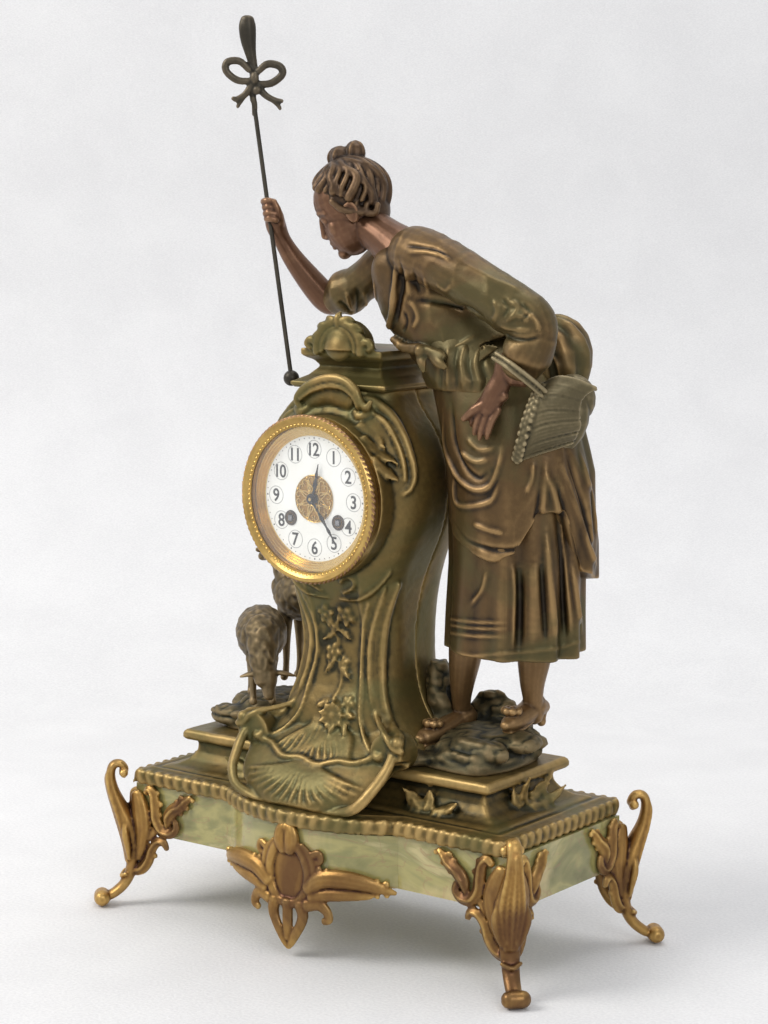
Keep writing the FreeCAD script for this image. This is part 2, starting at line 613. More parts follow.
# Dial and bezel. Places in Y are measured from the dial's face forwards, so they are negative.
dial_z = S.dial_height
seat_front = -(S.case_front + S.seat_flange_height)
dial_face = -(S.case_front + S.dial_thickness)
seat_ring = turned("bezel_seat_ring", [
    (S.seat_bore, seat_front), (S.seat_flange, seat_front), (S.seat_flange, -S.case_front),
    (S.seat_radius, -S.case_front), (S.seat_radius, -S.seat_length), (S.seat_bore, -S.seat_length),
    (S.seat_bore, -S.case_front + S.dial_lip_height), (S.seat_bore - S.dial_lip, -S.case_front + S.dial_lip_height),
    (S.seat_bore - S.dial_lip, -S.case_front), (S.seat_bore, -S.case_front),
], z=dial_z)
keep("sight_ring", turned("sight_ring_body", [
    (S.sight_radius, dial_face), (S.dial_radius, dial_face), (S.dial_radius, seat_front),
    (S.sight_radius + 4 * S.sight_step + S.sight_wall, seat_front),
    (S.sight_radius + 4 * S.sight_step + S.sight_wall, seat_front - 3 * S.sight_step),
    (S.sight_radius + 3 * S.sight_step, seat_front - 3 * S.sight_step),
    (S.sight_radius + 3 * S.sight_step, seat_front - 2 * S.sight_step),
    (S.sight_radius + 2 * S.sight_step, seat_front - 2 * S.sight_step),
    (S.sight_radius + 2 * S.sight_step, seat_front - S.sight_step),
    (S.sight_radius + S.sight_step, seat_front - S.sight_step),
    (S.sight_radius + S.sight_step, seat_front), (S.sight_radius, seat_front),
], z=dial_z))
winding_z = dial_z - S.winding_drop
keep("dial_plate", cut(
    "dial_pierced",
    rod("dial_disc", S.dial_radius, S.dial_thickness, 0, dial_face, dial_z, "Y"),
    fuse("dial_holes", [
        rod("dial_hole_centre", S.centre_hole, S.dial_thickness, 0, dial_face, dial_z, "Y"),
        rod("dial_hole_left", S.winding_hole, S.dial_thickness, -S.winding_out, dial_face, winding_z, "Y"),
        rod("dial_hole_right", S.winding_hole, S.dial_thickness, S.winding_out, dial_face, winding_z, "Y"),
    ]),
))
doc.recompute()


made("dial_fittings", Part.makeCompound([
    washer(S.centre_hole, S.filigree_radius, 0, dial_face - S.filigree_height, dial_z, S.filigree_height),
    washer(S.winding_hole, S.grommet_radius, -S.winding_out, dial_face - S.grommet_height, winding_z,
           S.grommet_height),
    washer(S.winding_hole, S.grommet_radius, S.winding_out, dial_face - S.grommet_height, winding_z,
           S.grommet_height),
]))

# Bezel door with its glass, hinged at the left
bezel_back = seat_front - S.bezel_gap
glass_back = -S.glass_front + S.glass_thickness
rope = S.bezel_radius - S.bezel_bore
hinge_y = bezel_back - S.hinge_knuckle / 2
knuckle_length = S.hinge_pin_length / 3
door_ring = turned("bezel_door_ring", [
    (S.bezel_bore, bezel_back), (S.bezel_radius - rope / 5, bezel_back), (S.bezel_radius, bezel_back - rope / 3),
    (S.bezel_radius, -S.bezel_front + rope / 4), (S.bezel_radius - rope / 5, -S.bezel_front),
    (S.bezel_radius - rope / 2, -S.bezel_front), (S.bezel_bore + rope / 5, -S.glass_front - S.cap_edge / 4),
    (S.bezel_bore, -S.glass_front - S.cap_edge / 4), (S.bezel_bore, -S.glass_front),
    (S.bezel_bore + S.glass_lip, -S.glass_front), (S.bezel_bore + S.glass_lip, glass_back),
    (S.bezel_bore, glass_back),
], z=dial_z)
doc.recompute()


def knuckle(share, link):
    """One third of the hinge's barrel, joined to its ring by the box link."""
    low_z = dial_z + (share - 0.5) * S.hinge_pin_length
    length = knuckle_length - S.bezel_gap
    low = Vector(-S.hinge_out, hinge_y, low_z + S.bezel_gap / 2)
    tube = bar(S.hinge_knuckle, low, low + Vector(0, 0, length))
    arm = block(Vector(-S.hinge_out, link[0], low.z), Vector(-link[2], link[1], low.z + length))
    bore = bar(S.hinge_pin_radius + S.pivot_clearance, Vector(-S.hinge_out, hinge_y, 0),
               Vector(-S.hinge_out, hinge_y, 2 * dial_z))
    return joined([tube, arm]).cut(bore)


def with_knuckles(body, shares, link):
    return joined([body.Shape] + [knuckle(share, link) for share in shares])


door_link = (bezel_back - S.hinge_knuckle, bezel_back, S.bezel_radius - rope / 3)
seat_link = (seat_front, seat_front + S.seat_flange_height, S.seat_flange - S.overrun)
pin_low = Vector(-S.hinge_out, hinge_y, dial_z - S.hinge_pin_length / 2)
made("bezel_door", with_knuckles(door_ring, (1 / 3,), door_link))
made("bezel_seat", with_knuckles(seat_ring, (0, 2 / 3), seat_link))
made("bezel_hinge_pin", bar(S.hinge_pin_radius, pin_low, pin_low + Vector(0, 0, S.hinge_pin_length)))
keep("bezel_glass", rod("glass_disc", S.bezel_bore + S.glass_lip, S.glass_thickness, 0, -S.glass_front,
                        dial_z, "Y"))

# Movement. A place in it is (x, z) from the dial's axis, and a depth is measured back from the
# front plate's inner face.
ADDENDUM_SHARE = 0.8
DEDENDUM_SHARE = 1.1
TOOTH_ROOT_SHARE = 0.27
TOOTH_TIP_SHARE = 0.11
gap_front = -S.movement_front


def meeting(first, first_reach, second, second_reach, turn):
    """The point at two given distances from two others; turn picks the side."""
    line = (second[0] - first[0], second[1] - first[1])
    span = math.hypot(*line)
    along = (first_reach ** 2 - second_reach ** 2 + span ** 2) / (2 * span)
    off = turn * math.sqrt(first_reach ** 2 - along ** 2)
    return (first[0] + (line[0] * along - line[1] * off) / span, first[1] + (line[1] * along + line[0] * off) / span)


def bearing(start, end):
    return math.atan2(end[1] - start[1], end[0] - start[0])


def gear(teeth, module, place, depth, thickness, towards, gap=False):
    """A toothed disc about an axis along Y: a tooth, or with gap a space, points to the place towards."""
    pitch = teeth * module / 2
    step = 2 * math.pi / teeth
    start = bearing(place, towards) + (step / 2 if gap else 0)
    corners = []
    for k in range(teeth):
        middle = start + k * step
        for radius, share in (
            (pitch - DEDENDUM_SHARE * module, -TOOTH_ROOT_SHARE), (pitch + ADDENDUM_SHARE * module, -TOOTH_TIP_SHARE),
            (pitch + ADDENDUM_SHARE * module, TOOTH_TIP_SHARE), (pitch - DEDENDUM_SHARE * module, TOOTH_ROOT_SHARE),
        ):
            turn = middle + share * step
            corners.append(Vector(place[0] + radius * math.cos(turn), gap_front + depth,
                                  dial_z + place[1] + radius * math.sin(turn)))
    return Part.Face(Part.makePolygon(corners + corners[:1])).extrude(Vector(0, thickness, 0))


def spindle(radius, place, start, end):
    """A round bar along Y between two depths."""
    return cross_pin(radius, place[0], gap_front + start, dial_z + place[1], end - start)


def arbor(place, start=None, end=None, thick=S.arbor_radius):
    """An arbor between the plates, with a pivot in each plate unless it runs on through."""
    plate_in = S.movement_plate
    low = -plate_in if start is None else start
    high = S.movement_gap + plate_in if end is None else end
    pieces = [spindle(thick, place, S.soft_gap, S.movement_gap - S.soft_gap)]
    pieces.append(spindle(S.pivot_radius if start is None else thick, place, low, S.movement_gap / 2))
    pieces.append(spindle(S.pivot_radius if end is None else thick, place, S.movement_gap / 2, high))
    return joined(pieces)


BARREL_TEETH, PINION_TEETH, SECOND_TEETH, CENTRE_TEETH = 84, 12, 64, 80
THIRD_PINION_TEETH, THIRD_TEETH, ESCAPE_PINION_TEETH = 8, 70, 7
CANNON_TEETH, MINUTE_TEETH, MINUTE_PINION_TEETH, HOUR_TEETH = 12, 36, 10, 40
centre = (0.0, 0.0)
right_barrel = (S.winding_out, -S.winding_drop)
left_barrel = (-S.winding_out, -S.winding_drop)
barrel_reach = (BARREL_TEETH + PINION_TEETH) * S.barrel_module / 2
second = meeting(centre, (SECOND_TEETH + PINION_TEETH) * S.second_module / 2, right_barrel, barrel_reach, 1)
escape = (0.0, S.escape_rise)
third = meeting(centre, (CENTRE_TEETH + THIRD_PINION_TEETH) * S.centre_module / 2,
                escape, (THIRD_TEETH + ESCAPE_PINION_TEETH) * S.third_module / 2, 1)
anchor_place = (0.0, S.escape_rise + S.anchor_rise)
STRIKE_BEARING = math.radians(115)
strike = (left_barrel[0] + barrel_reach * math.cos(STRIKE_BEARING),
          left_barrel[1] + barrel_reach * math.sin(STRIKE_BEARING))
minute_place = (0.0, -S.motion_distance)
hammer_place = (S.hammer_out, S.hammer_rise)
barrel_end = S.barrel_start + S.barrel_length
wheel = S.wheel_thickness
centre_depth = S.movement_gap - 2 * wheel - S.soft_gap
second_depth = 2 * wheel
third_depth = 4 * wheel
escape_depth = S.movement_gap / 2 - wheel
cannon_module = 2 * S.motion_distance / (CANNON_TEETH + MINUTE_TEETH)
hour_module = 2 * S.motion_distance / (MINUTE_PINION_TEETH + HOUR_TEETH)
# The motion work sits in front of the front plate, so its depths are negative
cannon_depth = -S.movement_plate - 1.6 * wheel
hour_depth = cannon_depth - 1.6 * wheel
square_start = S.movement_front - S.square_reach


def barrel(place, pinion_place):
    """A spring barrel: a capped drum with teeth on its rear cap, bored for its arbor."""
    teeth = gear(BARREL_TEETH, S.barrel_module, place, barrel_end, 2 * wheel, pinion_place)
    drum = spindle(S.barrel_radius, place, S.barrel_start, barrel_end)
    room = spindle(S.barrel_radius - wheel, place, S.barrel_start + wheel, barrel_end)
    bore = spindle(S.barrel_arbor_radius + S.pivot_clearance, place, 0, S.movement_gap)
    return joined([drum.cut(room), teeth]).cut(bore)


def winding_arbor(place):
    """A barrel's arbor: a shaft through both plates with a square for the key behind the dial's hole."""
    shaft = spindle(S.barrel_arbor_radius, place, -S.movement_plate - wheel, S.movement_gap + S.movement_plate)
    half = S.square_side / 2
    low = Vector(place[0] - half, gap_front + square_start, dial_z + place[1] - half)
    square = block(low, low + Vector(S.square_side, -square_start, S.square_side))
    return joined([shaft, square])


made("going_barrel", barrel(right_barrel, second))
made("strike_barrel", barrel(left_barrel, strike))
made("going_arbor", winding_arbor(right_barrel))
made("strike_arbor", winding_arbor(left_barrel))


def train_wheel(place, pinion, wheel_gear, start=None, end=None, thick=S.arbor_radius):
    return joined([arbor(place, start, end, thick), pinion, wheel_gear])


made("intermediate_wheel", train_wheel(
    second, gear(PINION_TEETH, S.barrel_module, second, barrel_end - wheel, 4 * wheel, right_barrel, gap=True),
    gear(SECOND_TEETH, S.second_module, second, second_depth, wheel, centre)))
minute_hand_front = -(S.minute_hand_back + S.hand_thickness)
made("centre_wheel", train_wheel(
    centre, gear(PINION_TEETH, S.second_module, centre, wheel, 3 * wheel, second, gap=True),
    gear(CENTRE_TEETH, S.centre_module, centre, centre_depth, wheel, third),
    start=minute_hand_front - S.collet_height - gap_front))
made("third_wheel", train_wheel(
    third, gear(THIRD_PINION_TEETH, S.centre_module, third, centre_depth - wheel, 3 * wheel, centre, gap=True),
    gear(THIRD_TEETH, S.third_module, third, third_depth, wheel, escape), thick=S.slim_arbor_radius))

RATCHET_TEETH = 15
RATCHET_ROOT_SHARE = 0.82
RATCHET_BACK_SHARE = 0.75


def escape_wheel():
    corners = []
    for k in range(RATCHET_TEETH):
        for radius_share, turn_share in ((RATCHET_ROOT_SHARE, 0.0), (1.0, RATCHET_BACK_SHARE)):
            turn = 2 * math.pi * (k + turn_share) / RATCHET_TEETH
            radius = radius_share * S.escape_radius
            corners.append(Vector(escape[0] + radius * math.cos(turn), gap_front + escape_depth,
                                  dial_z + escape[1] + radius * math.sin(turn)))
    ratchet = Part.Face(Part.makePolygon(corners + corners[:1])).extrude(Vector(0, wheel, 0))
    pinion = gear(ESCAPE_PINION_TEETH, S.third_module, escape, third_depth - wheel, 3 * wheel, third, gap=True)
    return train_wheel(escape, pinion, ratchet, thick=S.slim_arbor_radius)


made("escape_wheel", escape_wheel())
STRIKE_PINS = 8


def strike_pin_wheel():
    """The wheel whose pins lift the hammer."""
    disc = spindle(S.escape_radius, strike, centre_depth, centre_depth + wheel)
    pins = [
        spindle(S.pivot_radius,
                (strike[0] + (S.escape_radius - 2 * wheel) * math.cos(2 * math.pi * k / STRIKE_PINS),
                 strike[1] + (S.escape_radius - 2 * wheel) * math.sin(2 * math.pi * k / STRIKE_PINS)),
                centre_depth - wheel, centre_depth)
        for k in range(STRIKE_PINS)
    ]
    pinion = gear(PINION_TEETH, S.barrel_module, strike, barrel_end - wheel / 2, 3 * wheel, left_barrel, gap=True)
    return joined([arbor(strike), pinion, disc] + pins)


made("strike_pin_wheel", strike_pin_wheel())

# Motion work and hands. The hands stand at 24 minutes past 12.
HAND_SHARES = (
    (0.0, 0.9), (0.12, 0.55), (0.30, 0.35), (0.42, 1.0), (0.52, 0.6), (0.62, 0.35), (0.70, 0.75), (0.80, 0.3),
    (1.0, 0.08),
)
MINUTE_TURN = math.radians(90 - 144)
HOUR_TURN = math.radians(90 - 12)
hand_fit = S.pivot_clearance


def hand(length, turn, back, bore):
    """A pierced hand with a round boss, laid along the turn."""
    front = Vector(0, -back - S.hand_thickness, dial_z)
    half = S.hand_width / 2
    upper = [(share * length, width_share * half) for share, width_share in HAND_SHARES]
    outline = upper + [(along, -wide) for along, wide in reversed(upper)]
    points = [Vector(along, 0, wide) + front for along, wide in outline]
    blade = Part.Face(Part.makePolygon(points + points[:1])).extrude(Vector(0, S.hand_thickness, 0))
    blade.rotate(front, Vector(0, 1, 0), -math.degrees(turn))
    boss = cross_pin(S.collet_radius + wheel, 0, -back - S.hand_thickness, dial_z, S.hand_thickness)
    return joined([blade, boss]).cut(cross_pin(bore, 0, front.y, dial_z, S.hand_thickness))


def minute_hand():
    """The minute hand on the cannon pinion's pipe, which the centre arbor carries by friction."""
    bore = S.arbor_radius + hand_fit
    length = S.minute_hand_back + gap_front + cannon_depth
    pipe = spindle(S.cannon_radius, centre, cannon_depth - length, cannon_depth + wheel)
    pinion = gear(CANNON_TEETH, cannon_module, centre, cannon_depth, wheel, minute_place, gap=True)
    tube = joined([pipe, pinion]).cut(spindle(bore, centre, cannon_depth - length, cannon_depth + wheel))
    return joined([tube, hand(S.minute_hand_length, MINUTE_TURN, S.minute_hand_back, bore)])


def hour_hand():
    """The hour hand on the hour wheel's pipe, which turns on the cannon pinion."""
    bore = S.cannon_radius + hand_fit
    length = S.hour_hand_back + gap_front + hour_depth
    pipe = spindle(S.hour_pipe_radius, centre, hour_depth - length, hour_depth + wheel)
    toothed = gear(HOUR_TEETH, hour_module, centre, hour_depth, wheel, minute_place)
    tube = joined([pipe, toothed]).cut(spindle(bore, centre, hour_depth - length, hour_depth + wheel))
    return joined([tube, hand(S.hour_hand_length, HOUR_TURN, S.hour_hand_back, bore)])


made("minute_hand", minute_hand())
made("hour_hand", hour_hand())
made("hand_collet", washer(S.arbor_radius, S.collet_radius, 0, minute_hand_front - S.collet_height, dial_z,
                           S.collet_height))
made("minute_wheel", joined([
    gear(MINUTE_TEETH, cannon_module, minute_place, cannon_depth, wheel, centre),
    gear(MINUTE_PINION_TEETH, hour_module, minute_place, hour_depth, cannon_depth - hour_depth, centre, gap=True),
]).cut(spindle(S.pivot_radius + hand_fit, minute_place, hour_depth, cannon_depth + wheel)))

# Plates with their bearings, and the pillars between them
PILLAR_BEARINGS = (30, 150, 270)
PIVOTED = (second, third, escape, strike, hammer_place, anchor_place)


def bearings(low, high, wide_places):
    """The pivot holes of one plate, between two depths."""
    holes = [
        spindle((S.arbor_radius if place in wide_places else S.pivot_radius) + hand_fit, place, low, high)
        for place in PIVOTED
    ]
    holes += [spindle(S.barrel_arbor_radius + hand_fit, place, low, high) for place in (left_barrel, right_barrel)]
    return holes


def front_plate():
    low = -S.movement_plate
    disc = spindle(S.seat_bore - S.seat_clearance, centre, low, 0)
    for hole in bearings(low, 0, ()) + [spindle(S.arbor_radius + hand_fit, centre, low, 0)]:
        disc = disc.cut(hole)
    return joined([disc, spindle(S.pivot_radius, minute_place, hour_depth, low)])


def back_plate():
    low, high = S.movement_gap, S.movement_gap + S.movement_plate
    disc = spindle(S.movement_radius, centre, low, high)
    for hole in bearings(low, high, (hammer_place, anchor_place)) + [
        spindle(S.pivot_radius + hand_fit, centre, low, high),
    ]:
        disc = disc.cut(hole)
    bell_place = (S.bell_out, -S.bell_drop)
    post_end = S.bell_depth - S.bell_mouth - gap_front + wheel
    return joined([disc, spindle(S.bell_post_radius, bell_place, high, post_end)])


made("front_plate", front_plate())
made("back_plate", back_plate())
made("plate_pillars", Part.makeCompound([
    spindle(S.pillar_radius, (S.pillar_circle * math.cos(math.radians(turn)),
                              S.pillar_circle * math.sin(math.radians(turn))), 0, S.movement_gap)
    for turn in PILLAR_BEARINGS
]))

# Anchor with its crutch, pendulum and the cock that carries it
ANCHOR_SHARES = (
    (0.0, 0.16), (0.32, 0.04), (0.71, -0.44), (0.68, -0.55), (0.60, -0.49), (0.48, -0.28), (0.24, -0.13),
    (0.0, -0.11),
)
anchor_z = dial_z + anchor_place[1]
crutch_depth = S.movement_gap + S.movement_plate + wheel / 2
crutch_reach = 2 * S.anchor_rise
pendulum_front = -S.pendulum_plane - S.rod_radius


def anchor():
    half = [(x * S.anchor_rise, z * S.anchor_rise) for x, z in ANCHOR_SHARES]
    outline = half + [(-x, z) for x, z in reversed(half[1:-1])]
    points = [Vector(x, gap_front + escape_depth, anchor_z + z) for x, z in outline]
    pallets = Part.Face(Part.makePolygon(points + points[:1])).extrude(Vector(0, wheel, 0))
    crutch_y = gap_front + crutch_depth
    crutch = block(Vector(-wheel, crutch_y, anchor_z - crutch_reach), Vector(wheel, crutch_y + wheel, anchor_z))
    pin_start = Vector(0, crutch_y, anchor_z - crutch_reach + wheel)
    pin = bar(S.pivot_radius, pin_start, Vector(0, pendulum_front - S.soft_gap, pin_start.z))
    return joined([arbor(anchor_place, end=crutch_depth + wheel), pallets, crutch, pin])


def suspension_cock():
    """A bracket on the back plate with a pin that the pendulum hangs on."""
    plate_back = gap_front + S.movement_gap + S.movement_plate
    leg_front = -S.pendulum_plane + 2 * S.rod_radius
    eye_top = anchor_z + 2 * S.arbor_radius + wheel
    arm = block(Vector(-2 * S.rod_radius, plate_back, eye_top),
                Vector(2 * S.rod_radius, leg_front + wheel, eye_top + 2 * wheel))
    leg = block(Vector(-2 * S.rod_radius, leg_front, anchor_z - 2 * wheel),
                Vector(2 * S.rod_radius, leg_front + wheel, eye_top))
    pin = bar(S.pivot_radius, Vector(0, leg_front, anchor_z), Vector(0, pendulum_front - wheel, anchor_z))
    return joined([arm, leg, pin])


def pendulum():
    bob_z = anchor_z - S.pendulum_length
    eye_front = -S.pendulum_plane - S.rod_radius
    eye = cross_pin(2 * S.arbor_radius, 0, eye_front, anchor_z, 2 * S.rod_radius)
    rod_bar = bar(S.rod_radius, Vector(0, -S.pendulum_plane, anchor_z),
                  Vector(0, -S.pendulum_plane, bob_z - S.bob_radius - 2 * wheel))
    bob = cross_pin(S.bob_radius, 0, -S.pendulum_plane - S.bob_thickness / 2, bob_z, S.bob_thickness)
    bob = bob.makeFillet(S.bob_thickness / 4, [edge for edge in bob.Edges if edge.Closed])
    hole = cross_pin(S.pivot_radius + hand_fit, 0, -S.movement_front, anchor_z, S.movement_front)
    return joined([eye, rod_bar, bob]).cut(hole)


made("anchor", anchor())
made("suspension_cock", suspension_cock())
made("pendulum", pendulum())

# Bell and hammer
BELL_SHARES = ((1.0, 0.0), (0.98, 0.35), (0.88, 0.65), (0.65, 0.88), (0.30, 1.0))
bell_z = dial_z - S.bell_drop
bell_outer = [(S.bell_radius * out, S.bell_depth * deep - S.bell_mouth) for out, deep in BELL_SHARES]
bell_inner = [
    ((S.bell_radius - S.bell_wall) * out, (S.bell_depth - S.bell_wall) * deep - S.bell_mouth)
    for out, deep in reversed(BELL_SHARES)
]
keep("bell", turned("bell_body", bell_outer + [
    (S.bell_post_radius + S.seat_clearance, S.bell_depth - S.bell_mouth),
    (S.bell_post_radius + S.seat_clearance, S.bell_depth - S.bell_wall - S.bell_mouth),
] + bell_inner, x=S.bell_out, z=bell_z))
STRIKE_POINT = math.radians(25)


def hammer():
    """The bell's hammer on its arbor. It rests just off the bell's rim."""
    reach = S.bell_radius + S.hammer_head_radius + S.soft_gap
    head_x = S.bell_out + reach * math.cos(STRIKE_POINT)
    head_z = bell_z + reach * math.sin(STRIKE_POINT)
    plane = -S.hammer_plane
    arm = bar(S.rod_radius, Vector(S.hammer_out, plane, dial_z + S.hammer_rise), Vector(head_x, plane, head_z))
    head = cross_pin(S.hammer_head_radius, head_x, plane - S.hammer_head_length / 2, head_z, S.hammer_head_length)
    return joined([arbor(hammer_place, end=plane + 2 * S.rod_radius - gap_front), arm, head])


made("hammer", hammer())

# Straps that draw the movement back against the case, the rear ring and its hinged cover
ring_back = S.case_back + S.ring_height
strap_start = gap_front + S.soft_gap
strap_tab = 2 * S.strap_screw_head
screw_out_x = S.seat_bore - S.strap_thickness - S.strap_screw_radius / 4


def mounting_strap(side):
    length = S.case_back - strap_start
    outer = cross_pin(S.seat_bore, 0, strap_start, dial_z, length)
    tube = outer.cut(cross_pin(S.seat_bore - S.strap_thickness, 0, strap_start, dial_z, length))
    half = S.strap_width / 2
    tab_inner = S.seat_bore - strap_tab
    band = tube.common(block(Vector(0, strap_start, dial_z - half), Vector(S.seat_bore, S.case_back, dial_z + half)))
    tab = outer.common(block(Vector(tab_inner, S.case_back - 2 * S.strap_screw_length, dial_z - half),
                             Vector(S.seat_bore, S.case_back, dial_z + half)))
    hole = cross_pin(S.strap_screw_radius, screw_out_x, S.case_back - S.strap_screw_length, dial_z,
                     S.strap_screw_length)
    strap = joined([band, tab]).cut(hole)
    return strap if side > 0 else strap.mirror(*ends_mirror)


def strap_screw(side):
    start = S.case_back - S.strap_screw_length
    shank = cross_pin(S.strap_screw_radius, side * screw_out_x, start, dial_z, ring_back - start)
    head = cross_pin(S.strap_screw_head, side * screw_out_x, ring_back, dial_z, S.strap_screw_head_height)
    return joined([shank, head])


cover_hinge_y = ring_back + S.cover_knuckle + S.cover_gap
cover_hinge_z = dial_z - S.cover_hinge_drop
cover_front = ring_back + S.cover_gap


def cover_barrel(middle_share, length):
    """A piece of the cover's hinge barrel, placed along X by its middle."""
    low = Vector(middle_share * S.cover_knuckle_length - length / 2, cover_hinge_y, cover_hinge_z)
    return bar(S.cover_knuckle, low, low + Vector(length, 0, 0))


def rear_ring():
    ring = cross_pin(S.ring_radius, 0, S.case_back, dial_z, S.ring_height)
    ring = ring.cut(cross_pin(S.ring_bore, 0, S.case_back, dial_z, S.ring_height))
    for side in (-1, 1):
        ring = ring.cut(cross_pin(S.strap_screw_radius, side * screw_out_x, S.case_back, dial_z, S.ring_height))
    length = S.cover_knuckle_length
    pieces = [ring, bar(S.pivot_radius, Vector(-1.5 * length, cover_hinge_y, cover_hinge_z),
                        Vector(1.5 * length, cover_hinge_y, cover_hinge_z))]
    for middle_share in (-1, 1):
        middle = middle_share * length
        pieces.append(cover_barrel(middle_share, length - 2 * S.cover_gap))
        pieces.append(block(Vector(middle - length / 3, ring_back, cover_hinge_z - S.cover_knuckle),
                            Vector(middle + length / 3, cover_hinge_y, cover_hinge_z + S.cover_knuckle)))
    return joined(pieces)


COVER_SHARES = ((0.0, 1.0), (0.45, 0.85), (0.75, 0.45), (1.0, 0.0))
cover_outer = [(S.cover_radius * out, cover_front + S.cover_thickness + S.cover_dome * rise) for out, rise in COVER_SHARES]
cover_inner = [(radius, back - S.cover_thickness) for radius, back in reversed(cover_outer)]
cover_dish = turned("cover_dish", cover_outer + cover_inner, z=dial_z)
doc.recompute()


def rear_cover():
    """The dished cover with its half of the hinge, below."""
    length = S.cover_knuckle_length
    half = length / 2 - S.cover_gap
    arm = block(Vector(-half, cover_front, cover_hinge_z),
                Vector(half, cover_front + S.cover_thickness, dial_z - S.cover_radius + 2 * wheel))
    bore = bar(S.pivot_radius + hand_fit, Vector(-length, cover_hinge_y, cover_hinge_z),
               Vector(length, cover_hinge_y, cover_hinge_z))
    return joined([cover_dish.Shape, arm, cover_barrel(0, length - 2 * S.cover_gap)]).cut(bore)


made("mounting_straps", Part.makeCompound([mounting_strap(-1), mounting_strap(1)]))
made("strap_screws", Part.makeCompound([strap_screw(-1), strap_screw(1)]))
made("rear_ring", rear_ring())
made("rear_cover", rear_cover())


# Rocks on the terrace. A rock is a loft through level outlines: height, then its middle and half widths,
# all as shares of the terrace cap's half length, apart from the height, which is a share of the rock's own.
ROCK_RIGHT_SHARES = (
    (0.0, 0.765, 0.00, 0.375, 0.315), (0.35, 0.770, 0.01, 0.365, 0.300), (0.75, 0.790, 0.04, 0.320, 0.255),
    (1.0, 0.820, 0.08, 0.230, 0.180),
)
ROCK_LEFT_SHARES = (
    (0.0, -0.745, 0.07, 0.255, 0.285), (0.40, -0.745, 0.07, 0.245, 0.270), (0.75, -0.750, 0.09, 0.210, 0.230),
    (0.92, -0.755, 0.10, 0.140, 0.160),
)
STUMP_SHARES = (
    (0.3, 0.445, 0.14, 0.125, 0.16), (1.2, 0.405, 0.11, 0.090, 0.12), (2.2, 0.370, 0.10, 0.070, 0.095),
    (2.65, 0.360, 0.10, 0.040, 0.060),
)
EAST = Vector(1, 0, 0)
SOUTH = Vector(0, -1, 0)
UP = Vector(0, 0, 1)


def mound(shares):
    unit = S.cap_half_length
    return Part.makeLoft([
        oval(Vector(x * unit, y * unit, cap_top + z * S.rock_height), UP, EAST, wide * unit, deep * unit)
        for z, x, y, wide, deep in shares
    ], True, False)


# Shepherdess. Places are shares of her height from the terrace's top, taken from the middle of the terrace.


def station(x, y, z, wide, deep):
    tall = S.figure_height
    return (Vector(x * tall, y * tall, cap_top + z * tall), wide * tall, deep * tall)


def figure_limb(shares, side):
    return limb([station(*row) for row in shares], side)


SKIRT_SHARES = (
    (0.279, 0.019, 0.188, 0.117, 0.098), (0.281, 0.019, 0.280, 0.113, 0.096), (0.283, 0.019, 0.380, 0.112, 0.095),
    (0.265, 0.016, 0.500, 0.106, 0.089), (0.240, 0.014, 0.580, 0.101, 0.080), (0.222, 0.009, 0.632, 0.096, 0.070),
    (0.206, 0.007, 0.668, 0.088, 0.065),
)
DRAPE_SHARES = (
    (0.286, 0.030, 0.330, 0.120, 0.112), (0.286, 0.026, 0.400, 0.122, 0.115), (0.275, 0.024, 0.500, 0.121, 0.108),
    (0.252, 0.020, 0.590, 0.115, 0.094), (0.226, 0.012, 0.645, 0.099, 0.074),
)
BODICE_SHARES = (
    (0.230, 0.005, 0.632, 0.072, 0.086), (0.187, 0.005, 0.679, 0.069, 0.082), (0.145, 0.005, 0.726, 0.074, 0.086),
    (0.110, 0.002, 0.773, 0.080, 0.084), (0.089, 0.000, 0.808, 0.084, 0.066), (0.077, 0.000, 0.836, 0.056, 0.036),
)
NECK_SHARES_UP = (
    (0.075, 0.000, 0.828, 0.030, 0.032), (0.045, 0.000, 0.850, 0.026, 0.027), (0.010, 0.000, 0.872, 0.026, 0.028),
    (-0.020, -0.001, 0.890, 0.024, 0.026),
)
HEAD_SHARES = (
    (-0.071, -0.020, 0.812, 0.013, 0.013), (-0.065, -0.018, 0.828, 0.031, 0.029),
    (-0.053, -0.013, 0.855, 0.047, 0.043), (-0.040, -0.006, 0.890, 0.060, 0.053),
    (-0.030, 0.000, 0.925, 0.060, 0.054), (-0.021, 0.004, 0.953, 0.045, 0.043), (-0.016, 0.006, 0.968, 0.020, 0.020),
)
BUN_SHARES = ((-0.009, 0.005, 0.978, 0.022), (0.012, 0.012, 0.970, 0.017))
NEAR_UPPER_ARM_SHARES = (
    (0.112, -0.045, 0.822, 0.036, 0.036), (0.150, -0.068, 0.826, 0.043, 0.044), (0.222, -0.077, 0.803, 0.041, 0.041),
    (0.304, -0.075, 0.761, 0.040, 0.039), (0.366, -0.068, 0.727, 0.036, 0.035),
)
NEAR_FOREARM_SHARES = (
    (0.371, -0.068, 0.731, 0.033, 0.033), (0.356, -0.074, 0.690, 0.026, 0.027), (0.330, -0.080, 0.645, 0.020, 0.021),
    (0.307, -0.083, 0.605, 0.018, 0.013), (0.292, -0.085, 0.575, 0.019, 0.010), (0.285, -0.084, 0.555, 0.012, 0.007),
)
FAR_UPPER_ARM_SHARES = (
    (0.040, 0.060, 0.822, 0.034, 0.034), (-0.012, 0.072, 0.812, 0.036, 0.036), (-0.075, 0.076, 0.772, 0.031, 0.031),
    (-0.145, 0.071, 0.738, 0.025, 0.025),
)
FAR_FOREARM_SHARES = (
    (-0.142, 0.073, 0.732, 0.024, 0.024), (-0.170, 0.050, 0.768, 0.021, 0.021), (-0.198, 0.018, 0.822, 0.014, 0.014),
    (-0.205, -0.004, 0.855, 0.018, 0.011), (-0.203, -0.012, 0.885, 0.014, 0.010),
)
